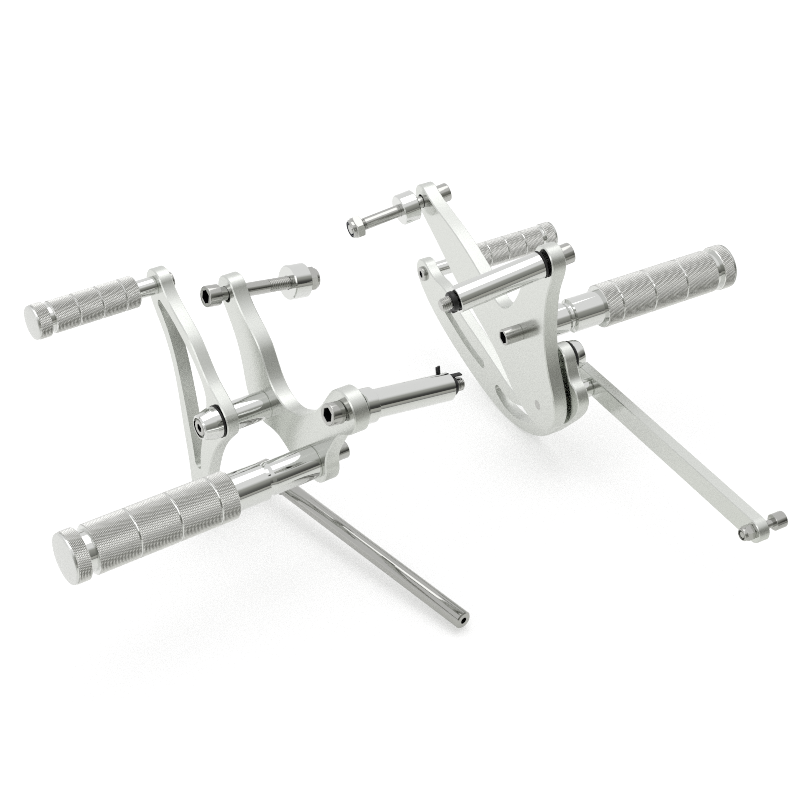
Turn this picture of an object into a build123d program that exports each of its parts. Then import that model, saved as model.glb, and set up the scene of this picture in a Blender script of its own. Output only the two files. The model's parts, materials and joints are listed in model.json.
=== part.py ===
from build123d import *
from math import cos, radians, sin, tan
import os

# Motorcycle forward controls, one pair, in millimetres.
# +X points forward, +Y to the rider's left and +Z up. The origin is the centre of the shift bracket's
# front bolt hole, on the bracket's outboard face. Each unit is drawn in its own side view: sketches
# have x forward and y up from the centre of the front boss, and a station is a distance along that
# view's normal. The normal of the shift side points inboard, that of the brake side outboard.

# Driving dimensions

# Both brackets
plate_thick = 12.0
plate_edge = 0.8
bolt_d = 10.0
bolt_head_d = 15.5
bolt_head_len = 10.0
socket_d = 8.0
thread_d = 8.0
fit_gap = 0.2
side_gap = 0.15
running = 0.05

# Shift bracket: boss centres (forward, up) and their radii
shift_rear = (-145.5, -28.0)
shift_pivot = (-46.0, -72.0)
shift_peg = (-108.5, -87.0)
front_boss_r = 11.0
front_hole = (0.0, -3.0)
shift_rear_boss_r = 16.0
shift_pivot_boss_r = 17.0
shift_peg_boss_r = 16.0

# Loose frame bolts: how far they hang down, degrees, and their stations
shift_front_droop = 8.3
shift_rear_droop = 8.0
brake_front_droop = 5.7
brake_rear_droop = 5.8
shift_front_pull = 5.5
brake_front_pull = 1.7
front_spacer_d = 25.5
front_spacer_len = 14.5
shift_front_end = 70.5
brake_front_end = 72.5
brake_spacer_off = 6.7
nut_flats = 17.0
nut_len = 7.0
nut_collar_len = 3.0
nut_collar_d = 15.5
tube_d = 20.0
shift_tube_len = 65.0
brake_tube_len = 70.0
rear_collar_d = 24.5
rear_collar_len = 10.0
rear_ring_d = 21.0
rear_ring_len = 1.8
rear_bolt_end = 12.0
tip_step = 0.5
tie_d = 15.0
tie_wide = 5.0
tie_lock = 5.0
tie_tail = 12.0

# Foot pegs
peg_d = 34.6
peg_rim_d = 36.0
peg_rim_len = 11.5
peg_neck_len = 5.5
peg_neck_d = 29.0
peg_band_len = 30.0
peg_bands = 3
peg_short_band = 14.0
peg_groove = 1.4
peg_groove_deep = 0.9
peg_dome = 1.6
post_d = 24.0
post_collar_d = 27.0
post_collar_len = 27.0
post_groove = 5.0
shift_post_len = 68.0
brake_post_len = 59.0
peg_stud_d = 12.0
peg_stud_deep = 20.0
peg_screw_d = 8.0
peg_screw_head_d = 13.0
peg_screw_head_len = 15.0
peg_screw_deep = 18.0

# Toe pegs
toe_d = 23.4
toe_rim_d = 25.0
toe_rim_len = 11.0
toe_neck_len = 3.0
toe_neck_d = 20.0
toe_band_len = 18.0
toe_short_band = 11.0
toe_groove = 1.1
toe_groove_deep = 0.7
toe_dome = 1.0
stub_d = 13.5
shift_stub_len = 16.0
brake_stub_len = 42.0
toe_bolt_d = 8.0
toe_bolt_head_d = 13.0
shift_toe_head_len = 4.0
brake_toe_head_len = 2.5
toe_bolt_deep = 12.0

# Shift lever and its pivot
lever_thick = 10.0
sleeve_len = 28.0
sleeve_d = 21.0
shift_toe = (35.5, 1.0)
shift_foot = (-9.0, -160.0)
shift_toe_boss_r = 12.0
shift_hub_r = 13.0
shift_foot_boss_r = 12.0
pivot_d = 10.0
bush_d = 14.0
cap_base_d = 23.0
cap_top_d = 18.5
cap_len = 13.5
oring_d = 24.0
oring_len = 2.0
cap_well_d = 15.0
cap_well_deep = 4.5
cap_screw_head_d = 12.0

# Rod end and shift rod
rod_station = 20.0
rod_yaw = 6.5
rod_drop = 3.5
ball_d = 16.0
ball_wide = 12.0
ball_bore_d = 8.0
ring_d = 20.0
ring_wide = 9.0
shank_d = 9.0
shank_end = 30.0
jam_flats = 13.0
jam_len = 5.0
rod_d = 13.0
rod_len = 192.0
rod_start = 25.0
rod_tap_d = 5.0
rod_tap_deep = 20.0
rod_bolt_head_d = 13.0
rod_bolt_head_len = 7.0
rod_spacer_d = 14.0
rod_nut_len = 6.5

# Brake side: where its view stands, and how far it is turned and tilted
brake_origin = (80.0, -233.0, -18.0)
brake_turn = 8.9
brake_tilt = 3.8

# Brake bracket and lever
brake_rear = (-193.0, 28.5)
brake_peg = (-157.0, -49.0)
brake_pin = (-182.0, -102.0)
brake_rear_boss_r = 12.8
brake_lever_gap = 2.0
pin_d = 8.0
brake_bush_d = 12.0
brake_toe = (33.0, -91.5)
brake_lobe = (-189.0, -62.0)
brake_toe_boss_r = 13.0
lobe_boss_r = 12.5
lobe_screw_d = 6.0
crank_len = 23.0
crank_d = 15.0
bar_thick = 9.0
bar_high = 18.0
bar_front = (-166.0, -98.9)
bar_rear = (-388.0, -106.0)
bar_bolt_d = 6.0
bar_nut_flats = 10.0
bar_nut_len = 6.0
bar_head_d = 12.0
bar_head_len = 9.0
bar_shank = 9.0
clip_d = 13.0
clip_len = 3.0


# Side views

def tilted_side(origin, turn, tilt):
    """Side view with its normal turned from -Y by turn and raised by tilt, in degrees."""
    across = cos(radians(tilt))
    normal = (-sin(radians(turn)) * across, -cos(radians(turn)) * across, sin(radians(tilt)))
    return Plane(origin=origin, x_dir=(cos(radians(turn)), -sin(radians(turn)), 0), z_dir=normal)


shift_side = tilted_side((-front_hole[0], 0, -front_hole[1]), 0.0, 0.0)
brake_side = tilted_side(brake_origin, brake_turn, brake_tilt)


def through(side, centre, station=0.0):
    """Plane across an axis of one side: it passes the side's point (forward, up) at a station."""
    return Plane(
        origin=side.from_local_coords((centre[0], centre[1], station)),
        x_dir=side.x_dir,
        z_dir=side.z_dir,
    )


def hanging(side, centre, inboard, droop):
    """Plane across a loose bolt: its normal points inboard and hangs down by droop degrees."""
    hinge = through(side, centre, plate_thick / 2)
    down = hinge.z_dir * inboard * cos(radians(droop)) - hinge.y_dir * sin(radians(droop))
    return Plane(origin=hinge.origin, x_dir=side.x_dir, z_dir=down)


def rim(centre, radius, angle):
    """Point on a boss's rim at an angle in degrees."""
    return (
        centre[0] + radius * cos(radians(angle)),
        centre[1] + radius * sin(radians(angle)),
    )


def clockwise(angle):
    """Direction of travel when a boss is passed clockwise at an angle in degrees."""
    return (sin(radians(angle)), -cos(radians(angle)))


def rims(part, plane):
    """Edges of a plate's two faces."""
    groups = part.edges().group_by(Axis(plane.origin, plane.z_dir))
    return groups[0] + groups[-1]


def finish(part, name):
    """Names a finished piece and writes its file."""
    part.label = name
    export_step(part, f"parts/{name}.step")


os.makedirs("parts", exist_ok=True)


# Brackets

def loose_hole_d(droop):
    """Bolt hole that lets a bolt hang by droop degrees inside the plate."""
    slope = radians(droop)
    return bolt_d / cos(slope) + plate_thick * tan(slope) + 2 * fit_gap


def front_boss(first, last):
    """Rim of the front boss, from one angle clockwise to another."""
    return ThreePointArc(
        rim((0, 0), front_boss_r, first),
        rim((0, 0), front_boss_r, (first + last) / 2),
        rim((0, 0), front_boss_r, last),
    )


with BuildPart() as shift_bracket:
    with BuildSketch(shift_side):
        with BuildLine():
            Spline(
                rim((0, 0), front_boss_r, -35),
                (-10.0, -34.0),
                (-18.5, -59.0),
                (-25.0, -77.0),
                rim(shift_pivot, shift_pivot_boss_r, -55),
                tangents=(clockwise(-35), clockwise(-55)),
            )
            ThreePointArc(
                rim(shift_pivot, shift_pivot_boss_r, -55),
                rim(shift_pivot, shift_pivot_boss_r, -75),
                rim(shift_pivot, shift_pivot_boss_r, -95),
            )
            Spline(
                rim(shift_pivot, shift_pivot_boss_r, -95),
                (-64.0, -90.0),
                (-80.0, -97.5),
                rim(shift_peg, shift_peg_boss_r, -80),
                tangents=(clockwise(-95), clockwise(-80)),
            )
            ThreePointArc(
                rim(shift_peg, shift_peg_boss_r, -80),
                rim(shift_peg, shift_peg_boss_r, -135),
                rim(shift_peg, shift_peg_boss_r, 170),
            )
            Spline(
                rim(shift_peg, shift_peg_boss_r, 170),
                (-132.0, -62.0),
                rim(shift_rear, shift_rear_boss_r, -108),
                tangents=(clockwise(170), clockwise(-108)),
            )
            ThreePointArc(
                rim(shift_rear, shift_rear_boss_r, -108),
                rim(shift_rear, shift_rear_boss_r, 150),
                rim(shift_rear, shift_rear_boss_r, 45),
            )
            Spline(
                rim(shift_rear, shift_rear_boss_r, 45),
                (-118.0, -38.0),
                (-98.0, -54.0),
                (-79.0, -60.5),
                (-60.0, -53.5),
                (-42.0, -27.0),
                rim((0, 0), front_boss_r, 150),
                tangents=(clockwise(45), clockwise(150)),
            )
            front_boss(150, -35)
        make_face()
    extrude(amount=plate_thick)
    chamfer(rims(shift_bracket, shift_side), plate_edge)
    with BuildSketch(shift_side):
        with Locations(front_hole):
            Circle(loose_hole_d(shift_front_droop) / 2)
        with Locations(shift_rear):
            Circle(loose_hole_d(shift_rear_droop) / 2)
        with Locations(shift_pivot):
            Circle(thread_d / 2)
        with Locations(shift_peg):
            Circle(peg_screw_d / 2)
    extrude(amount=plate_thick, mode=Mode.SUBTRACT)
finish(shift_bracket.part, "shift_bracket")

with BuildPart() as brake_bracket:
    with BuildSketch(brake_side):
        with BuildLine():
            Spline(
                rim((0, 0), front_boss_r, -45),
                (-16.0, -25.0),
                (-45.0, -45.5),
                (-84.0, -68.0),
                (-121.0, -89.5),
                (-144.0, -109.5),
                (-166.0, -120.5),
                (-188.0, -122.0),
                (-204.0, -108.5),
                (-206.0, -88.0),
                (-197.0, -62.0),
                (-193.5, -20.0),
                (-199.0, 8.0),
                rim(brake_rear, brake_rear_boss_r, 190),
                tangents=(clockwise(-45), clockwise(190)),
            )
            ThreePointArc(
                rim(brake_rear, brake_rear_boss_r, 190),
                rim(brake_rear, brake_rear_boss_r, 110),
                rim(brake_rear, brake_rear_boss_r, 25),
            )
            Spline(
                rim(brake_rear, brake_rear_boss_r, 25),
                (-164.0, 2.0),
                (-146.0, -29.0),
                (-130.0, -40.0),
                (-108.0, -33.0),
                (-49.0, -6.0),
                rim((0, 0), front_boss_r, 120),
                tangents=(clockwise(25), clockwise(120)),
            )
            front_boss(120, -45)
        make_face()
    extrude(amount=plate_thick)
    chamfer(rims(brake_bracket, brake_side), plate_edge)
    with BuildSketch(brake_side):
        with Locations(front_hole):
            Circle(loose_hole_d(brake_front_droop) / 2)
        with Locations(brake_rear):
            Circle(loose_hole_d(brake_rear_droop) / 2)
        with Locations(brake_pin):
            Circle(pin_d / 2)
        with Locations(brake_peg):
            Circle(peg_screw_d / 2)
    extrude(amount=plate_thick, mode=Mode.SUBTRACT)
finish(brake_bracket.part, "brake_bracket")


# Loose frame bolts: stations are counted inboard from the middle of the plate

def cap_screw(plane, start, end, shank, head_d, head_len, socket, tip_len=0.0):
    """Socket head screw: head before the start station, plain shank, and a threaded tip if any."""
    with BuildPart() as screw:
        with BuildSketch(plane.offset(start - head_len)):
            Circle(head_d / 2)
        extrude(amount=head_len)
        chamfer(screw.edges().group_by(Axis(plane.origin, plane.z_dir))[0], 0.6)
        with BuildSketch(plane.offset(start)):
            Circle(shank / 2)
        extrude(amount=end - start - tip_len)
        if tip_len:
            with BuildSketch(plane.offset(end - tip_len)):
                Circle(shank / 2 - tip_step)
            extrude(amount=tip_len)
        with BuildSketch(plane.offset(start - head_len)):
            RegularPolygon(radius=socket / 2, side_count=6)
        extrude(amount=head_len / 2, mode=Mode.SUBTRACT)
    return screw.part


def ring(plane, start, length, outer, inner, edge=0.5):
    """Plain ring or tube with broken outer edges."""
    with BuildPart() as piece:
        with BuildSketch(plane.offset(start)):
            Circle(outer / 2)
        extrude(amount=length)
        chamfer(piece.edges(), edge)
        with BuildSketch(plane.offset(start)):
            Circle(inner / 2)
        extrude(amount=length, mode=Mode.SUBTRACT)
    return piece.part


def lock_nut(plane, start, bore, flats, length, collar_d, collar_len):
    """Lock nut: hexagon with a round collar that holds the insert."""
    with BuildPart() as nut:
        with BuildSketch(plane.offset(start)):
            RegularPolygon(radius=flats / 2, side_count=6, major_radius=False)
        extrude(amount=length)
        with BuildSketch(plane.offset(start + length)):
            Circle(collar_d / 2)
        extrude(amount=collar_len)
        with BuildSketch(plane.offset(start)):
            Circle(bore / 2)
        extrude(amount=length, mode=Mode.SUBTRACT)
        with BuildSketch(plane.offset(start + length)):
            Circle(collar_d / 2 - 1.2)
        extrude(amount=collar_len, mode=Mode.SUBTRACT)
    return nut.part


def tie(plane, start, bore, outer):
    """Plastic tie round a bolt: a band, its lock and a cut tail."""
    with BuildPart() as band:
        with BuildSketch(plane.offset(start)):
            Circle(outer / 2)
        extrude(amount=tie_wide)
        with BuildSketch(plane.offset(start)):
            with Locations((0, -outer / 2)):
                Rectangle(tie_lock * 1.4, tie_lock)
        extrude(amount=tie_wide)
        with BuildSketch(plane.offset(start + tie_wide * 0.2)):
            with Locations((tie_lock * 0.6, -outer / 2 - tie_tail / 2)):
                Rectangle(1.2, tie_tail)
        extrude(amount=tie_wide * 0.6)
        with BuildSketch(plane.offset(start)):
            Circle(bore / 2)
        extrude(amount=tie_wide, mode=Mode.SUBTRACT)
    return band.part


def clear_of_plate(outer, droop):
    """Distance from the plate's middle at which a round piece just clears it, for a hanging bolt."""
    slope = radians(droop)
    return (plate_thick / 2 + fit_gap) / cos(slope) + outer / 2 * tan(slope)


def hanging_screw(name, axis, droop, pull, end, tip_len=0.0):
    """Frame bolt, pulled out of the plate by a length."""
    seat = -clear_of_plate(bolt_head_d, droop) - pull
    finish(
        cap_screw(axis, seat, end, bolt_d, bolt_head_d, bolt_head_len, socket_d, tip_len),
        f"{name}_bolt",
    )


def front_set(name, axis, droop, pull, end, spacer_start):
    """Front frame bolt with its thick spacer, lock nut and the nut's insert."""
    hanging_screw(name, axis, droop, pull, end)
    finish(
        ring(axis, spacer_start, front_spacer_len, front_spacer_d, bolt_d + 2 * fit_gap, 0.8),
        f"{name}_spacer",
    )
    finish(
        lock_nut(
            axis, end - nut_len - nut_collar_len, bolt_d,
            nut_flats, nut_len, nut_collar_d, nut_collar_len,
        ),
        f"{name}_nut",
    )
    finish(
        ring(
            axis, end - nut_collar_len, nut_collar_len - 0.6,
            nut_collar_d - 2.4, bolt_d, 0.3,
        ),
        f"{name}_insert",
    )


def rear_set(name, axis, droop, first_d, first_len, length):
    """Rear frame bolt with the ring at the plate, its long tube and the plastic tie."""
    first = clear_of_plate(first_d, droop)
    tube = first + first_len + side_gap
    end = tube + length + side_gap + rear_bolt_end
    hanging_screw(name, axis, droop, 0.0, end, rear_bolt_end - tie_wide)
    finish(ring(axis, first, first_len, first_d, bolt_d + 2 * fit_gap, 0.8), f"{name}_ring")
    finish(ring(axis, tube, length, tube_d, bolt_d + 2 * fit_gap), f"{name}_tube")
    finish(tie(axis, tube + length + side_gap, bolt_d, tie_d), f"{name}_tie")


front_set(
    "shift_front", hanging(shift_side, front_hole, 1, shift_front_droop), shift_front_droop,
    shift_front_pull, shift_front_end, shift_front_end - nut_len - nut_collar_len - side_gap - front_spacer_len,
)
front_set(
    "brake_front", hanging(brake_side, front_hole, -1, brake_front_droop), brake_front_droop,
    brake_front_pull, brake_front_end, plate_thick / 2 + brake_spacer_off,
)
rear_set(
    "shift_rear", hanging(shift_side, shift_rear, 1, shift_rear_droop), shift_rear_droop,
    rear_collar_d, rear_collar_len, shift_tube_len,
)
rear_set(
    "brake_rear", hanging(brake_side, brake_rear, -1, brake_rear_droop), brake_rear_droop,
    rear_ring_d, rear_ring_len, brake_tube_len,
)


# Foot pegs and toe pegs: turned on an axis that starts at the seat and runs outwards

def outward(plane, way):
    """Plane of a turned profile: x runs out along the peg's axis, y is the radius."""
    return Plane(origin=plane.origin, x_dir=plane.z_dir * way, z_dir=plane.x_dir)


def banded_peg(axis, short, band, bands, groove, deep, body, neck, neck_d, rim_len, rim_d, dome, bore, bored):
    """Turned peg: short band, equal bands between grooves, neck and rimmed end cap."""
    length = short + bands * band + neck + rim_len
    face_r = rim_d / 2 - 1.5
    dome_r = (face_r**2 + dome**2) / (2 * dome)
    dome_half = dome - dome_r + (dome_r**2 - face_r**2 / 4) ** 0.5
    with BuildPart() as peg:
        with BuildSketch(axis):
            with BuildLine():
                Polyline(
                    (bored, 0), (bored, bore / 2), (0, bore / 2), (0, body / 2 - 0.8), (0.8, body / 2),
                    (length - rim_len - neck - 0.8, body / 2), (length - rim_len - neck, body / 2 - 0.8),
                    (length - rim_len - neck, neck_d / 2), (length - rim_len, neck_d / 2),
                    (length - rim_len, rim_d / 2 - 0.8), (length - rim_len + 0.8, rim_d / 2),
                    (length - 1.5, rim_d / 2), (length, face_r),
                )
                ThreePointArc((length, face_r), (length + dome_half, face_r / 2), (length + dome, 0))
                Line((length + dome, 0), (bored, 0))
            make_face()
        revolve(axis=Axis(axis.origin, axis.x_dir))
        with BuildSketch(axis):
            for index in range(bands):
                with Locations((short + index * band, body / 2)):
                    Rectangle(groove, 2 * deep)
        revolve(axis=Axis(axis.origin, axis.x_dir), mode=Mode.SUBTRACT)
    return peg.part


def foot_peg(axis):
    """Foot peg on the post's stud."""
    return banded_peg(
        axis, peg_short_band, peg_band_len, peg_bands, peg_groove, peg_groove_deep, peg_d,
        peg_neck_len, peg_neck_d, peg_rim_len, peg_rim_d, peg_dome, peg_stud_d, peg_stud_deep,
    )


def toe_peg(axis):
    """Toe peg on the stub's stud."""
    return banded_peg(
        axis, toe_short_band, toe_band_len, peg_bands, toe_groove, toe_groove_deep, toe_d,
        toe_neck_len, toe_neck_d, toe_rim_len, toe_rim_d, toe_dome, toe_bolt_d, toe_bolt_deep,
    )


def peg_post(axis, length):
    """Polished post: slim part at the plate, groove, thicker collar and the stud in the peg."""
    slim = length - post_collar_len
    with BuildPart() as post:
        with BuildSketch(axis):
            with BuildLine():
                Polyline(
                    (0, peg_screw_d / 2), (0, post_d / 2 - 0.6), (0.6, post_d / 2),
                    (slim - post_groove, post_d / 2), (slim - post_groove / 2, post_d / 2 - 1.2),
                    (slim, post_d / 2 - 1.2), (slim + 1.0, post_collar_d / 2),
                    (length, post_collar_d / 2), (length, peg_stud_d / 2),
                    (length + peg_stud_deep, peg_stud_d / 2), (length + peg_stud_deep, 0),
                    (peg_screw_deep, 0), (peg_screw_deep, peg_screw_d / 2), (0, peg_screw_d / 2),
                )
            make_face()
        revolve(axis=Axis(axis.origin, axis.x_dir))
    return post.part


shift_peg_seat = through(shift_side, shift_peg)
brake_peg_seat = through(brake_side, brake_peg, plate_thick)
brake_peg_back = through(brake_side, brake_peg)
shift_peg_back = through(shift_side, shift_peg, plate_thick)

finish(peg_post(outward(shift_peg_seat, -1), shift_post_len), "shift_peg_post")
finish(foot_peg(outward(shift_peg_seat.offset(-shift_post_len), -1)), "shift_foot_peg")
finish(peg_post(outward(brake_peg_seat, 1), brake_post_len), "brake_peg_post")
finish(foot_peg(outward(brake_peg_seat.offset(brake_post_len), 1)), "brake_foot_peg")


def facing(plane):
    """The same place, seen from the other side."""
    return Plane(origin=plane.origin, x_dir=plane.x_dir, z_dir=-plane.z_dir)


for name, back in (("shift", facing(shift_peg_back)), ("brake", brake_peg_back)):
    finish(
        cap_screw(
            back, 0, plate_thick + peg_screw_deep,
            peg_screw_d, peg_screw_head_d, peg_screw_head_len, socket_d,
        ),
        f"{name}_peg_screw",
    )


# Shift lever

lever_in = -sleeve_len
lever_out = lever_in - lever_thick

with BuildPart() as shift_lever:
    with BuildSketch(shift_side.offset(lever_out)):
        with BuildLine():
            ThreePointArc(
                rim(shift_toe, shift_toe_boss_r, 150),
                rim(shift_toe, shift_toe_boss_r, 60),
                rim(shift_toe, shift_toe_boss_r, -15),
            )
            Spline(
                rim(shift_toe, shift_toe_boss_r, -15),
                (27.0, -35.0),
                (15.5, -64.0),
                (9.0, -105.0),
                rim(shift_foot, shift_foot_boss_r, 0),
                tangents=(clockwise(-15), clockwise(0)),
            )
            ThreePointArc(
                rim(shift_foot, shift_foot_boss_r, 0),
                rim(shift_foot, shift_foot_boss_r, -90),
                rim(shift_foot, shift_foot_boss_r, 175),
            )
            Spline(
                rim(shift_foot, shift_foot_boss_r, 175),
                (-27.0, -124.0),
                (-40.0, -98.0),
                rim(shift_pivot, shift_hub_r, -135),
                tangents=(clockwise(175), clockwise(-135)),
            )
            ThreePointArc(
                rim(shift_pivot, shift_hub_r, -135),
                rim(shift_pivot, shift_hub_r, 180),
                rim(shift_pivot, shift_hub_r, 140),
            )
            Spline(
                rim(shift_pivot, shift_hub_r, 140),
                (-34.0, -47.0),
                (-13.0, -24.0),
                rim(shift_toe, shift_toe_boss_r, 150),
                tangents=(clockwise(140), clockwise(150)),
            )
        make_face()
    extrude(amount=lever_thick)
    chamfer(rims(shift_lever, shift_side), plate_edge)
    with BuildSketch(shift_side.offset(lever_out)):
        with BuildLine():
            Spline(
                (31.0, -14.5),
                (17.0, -35.0),
                (7.0, -64.0),
                (-2.0, -105.0),
                (-5.5, -127.0),
                tangents=((-1, -1), (-0.1, -1)),
            )
            ThreePointArc((-5.5, -127.0), (-10.0, -132.0), (-14.5, -127.0))
            Spline(
                (-14.5, -127.0),
                (-19.0, -104.0),
                (-25.0, -82.0),
                (-30.0, -63.0),
                (-20.0, -43.0),
                (7.0, -20.0),
                (26.0, -9.5),
                tangents=((0.1, 1), (1, 0.4)),
            )
            ThreePointArc((26.0, -9.5), (31.5, -9.5), (31.0, -14.5))
        make_face()
    extrude(amount=lever_thick, mode=Mode.SUBTRACT)
    with BuildSketch(shift_side.offset(lever_out)):
        with Locations(shift_pivot):
            Circle(bush_d / 2)
        with Locations(shift_toe):
            Circle(toe_bolt_d / 2)
        with Locations(shift_foot):
            Circle(ball_bore_d / 2)
    extrude(amount=lever_thick, mode=Mode.SUBTRACT)
finish(shift_lever.part, "shift_lever")

# Pivot of the shift lever: screw, cap, seal ring, bush and sleeve
pivot_seat = through(shift_side, shift_pivot)
cap_seat = lever_out - side_gap - oring_len

finish(
    ring(pivot_seat, lever_out + side_gap, lever_thick - 2 * side_gap, bush_d, pivot_d + 2 * running, 0.3),
    "shift_lever_bush",
)
finish(
    ring(pivot_seat, lever_in + side_gap, sleeve_len - side_gap, sleeve_d, pivot_d),
    "shift_pivot_sleeve",
)
finish(ring(pivot_seat, cap_seat, oring_len, oring_d, pivot_d, 0.7), "shift_pivot_seal")


def end_cap(plane, base, way, bore):
    """Cone-shaped cap with a well for its screw's head."""
    axis = outward(plane.offset(base), way)
    with BuildPart() as cap:
        with BuildSketch(axis):
            with BuildLine():
                Polyline(
                    (0, bore / 2), (0, cap_base_d / 2), (cap_len * 0.3, cap_base_d / 2),
                    (cap_len - 1, cap_top_d / 2), (cap_len, cap_top_d / 2 - 1),
                    (cap_len, cap_well_d / 2), (cap_len - cap_well_deep, cap_well_d / 2),
                    (cap_len - cap_well_deep, bore / 2), (0, bore / 2),
                )
            make_face()
        revolve(axis=Axis(axis.origin, axis.x_dir))
    return cap.part


finish(end_cap(pivot_seat, cap_seat, -1, pivot_d), "shift_pivot_cap")
with BuildPart() as pivot_screw:
    add(
        cap_screw(
            pivot_seat, cap_seat - cap_len + cap_well_deep, 0,
            pivot_d, cap_screw_head_d, cap_well_deep, socket_d * 0.8,
        )
    )
    with BuildSketch(pivot_seat):
        Circle(thread_d / 2)
    extrude(amount=plate_thick)
finish(pivot_screw.part, "shift_pivot_screw")

# Toe peg of the shift side
shift_toe_seat = through(shift_side, shift_toe, lever_out)
finish(ring(shift_toe_seat, -shift_stub_len, shift_stub_len, stub_d, toe_bolt_d, 0.6), "shift_toe_stub")
finish(toe_peg(outward(shift_toe_seat.offset(-shift_stub_len), -1)), "shift_toe_peg")
finish(
    cap_screw(
        facing(through(shift_side, shift_toe, lever_in)), 0,
        lever_thick + shift_stub_len + toe_bolt_deep,
        toe_bolt_d, toe_bolt_head_d, shift_toe_head_len, socket_d * 0.8,
    ),
    "shift_toe_bolt",
)


# Rod end and shift rod

rod_centre = shift_side.from_local_coords((shift_foot[0], shift_foot[1], rod_station))
rod_way = (
    -cos(radians(rod_drop)) * cos(radians(rod_yaw)),
    -cos(radians(rod_drop)) * sin(radians(rod_yaw)),
    -sin(radians(rod_drop)),
)
rod_side = Plane(
    origin=rod_centre, x_dir=rod_way, z_dir=(sin(radians(rod_yaw)), -cos(radians(rod_yaw)), 0)
)
rod_axis = Plane(origin=rod_centre, x_dir=rod_side.z_dir, z_dir=rod_way)
foot_seat = through(shift_side, shift_foot)
ball_face = rod_station - ball_wide / 2

finish(
    ring(foot_seat, lever_in, ball_face - lever_in, rod_spacer_d, ball_bore_d, 0.8),
    "rod_end_spacer",
)
with BuildPart() as ball:
    with Locations(Location(rod_centre)):
        Sphere(ball_d / 2)
    with BuildSketch(foot_seat.offset(rod_station - ball_d)):
        Circle(ball_d)
    extrude(amount=ball_d - ball_wide / 2, mode=Mode.SUBTRACT)
    with BuildSketch(foot_seat.offset(rod_station + ball_wide / 2)):
        Circle(ball_d)
    extrude(amount=ball_d, mode=Mode.SUBTRACT)
    with BuildSketch(foot_seat.offset(rod_station - ball_d)):
        Circle(ball_bore_d / 2)
    extrude(amount=2 * ball_d, mode=Mode.SUBTRACT)
finish(ball.part, "rod_end_ball")

with BuildPart() as housing:
    with BuildSketch(rod_side.offset(-ring_wide / 2)):
        Circle(ring_d / 2)
    extrude(amount=ring_wide)
    chamfer(housing.edges(), 0.8)
    with Locations(Location(rod_centre)):
        Sphere(ball_d / 2 + running, mode=Mode.SUBTRACT)
    with BuildSketch(rod_axis.offset(ball_d / 2 + 0.8)):
        Circle(shank_d / 2)
    extrude(amount=shank_end - ball_d / 2 - 0.8)
finish(housing.part, "rod_end_housing")

finish(
    cap_screw(
        foot_seat, lever_out, rod_station + ball_wide / 2 + rod_nut_len,
        ball_bore_d, rod_bolt_head_d, rod_bolt_head_len, socket_d * 0.8,
    ),
    "rod_end_bolt",
)


def plain_nut(plane, start, bore, flats, length):
    """Plain hexagon nut with broken corners."""
    with BuildPart() as nut:
        with BuildSketch(plane.offset(start)):
            RegularPolygon(radius=flats / 2, side_count=6, major_radius=False)
        extrude(amount=length)
        with BuildSketch(plane.offset(start)):
            Circle(bore / 2)
        extrude(amount=length, mode=Mode.SUBTRACT)
    return nut.part


finish(
    plain_nut(foot_seat, rod_station + ball_wide / 2, ball_bore_d, jam_flats, rod_nut_len),
    "rod_end_nut",
)
finish(plain_nut(rod_axis, rod_start - jam_len, shank_d, jam_flats, jam_len), "rod_jam_nut")

with BuildPart() as shift_rod:
    with BuildSketch(rod_axis.offset(rod_start)):
        Circle(rod_d / 2)
    extrude(amount=rod_len)
    chamfer(shift_rod.edges(), 0.8)
    with BuildSketch(rod_axis.offset(rod_start)):
        Circle(shank_d / 2)
    extrude(amount=shank_end - rod_start, mode=Mode.SUBTRACT)
    with BuildSketch(rod_axis.offset(rod_start + rod_len - rod_tap_deep)):
        Circle(rod_tap_d / 2)
    extrude(amount=rod_tap_deep, mode=Mode.SUBTRACT)
finish(shift_rod.part, "shift_rod")


# Brake lever, its pin and the bar it turns

brake_in = plate_thick + brake_lever_gap
brake_out = brake_in + lever_thick
bar_in = brake_out + crank_len

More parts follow.
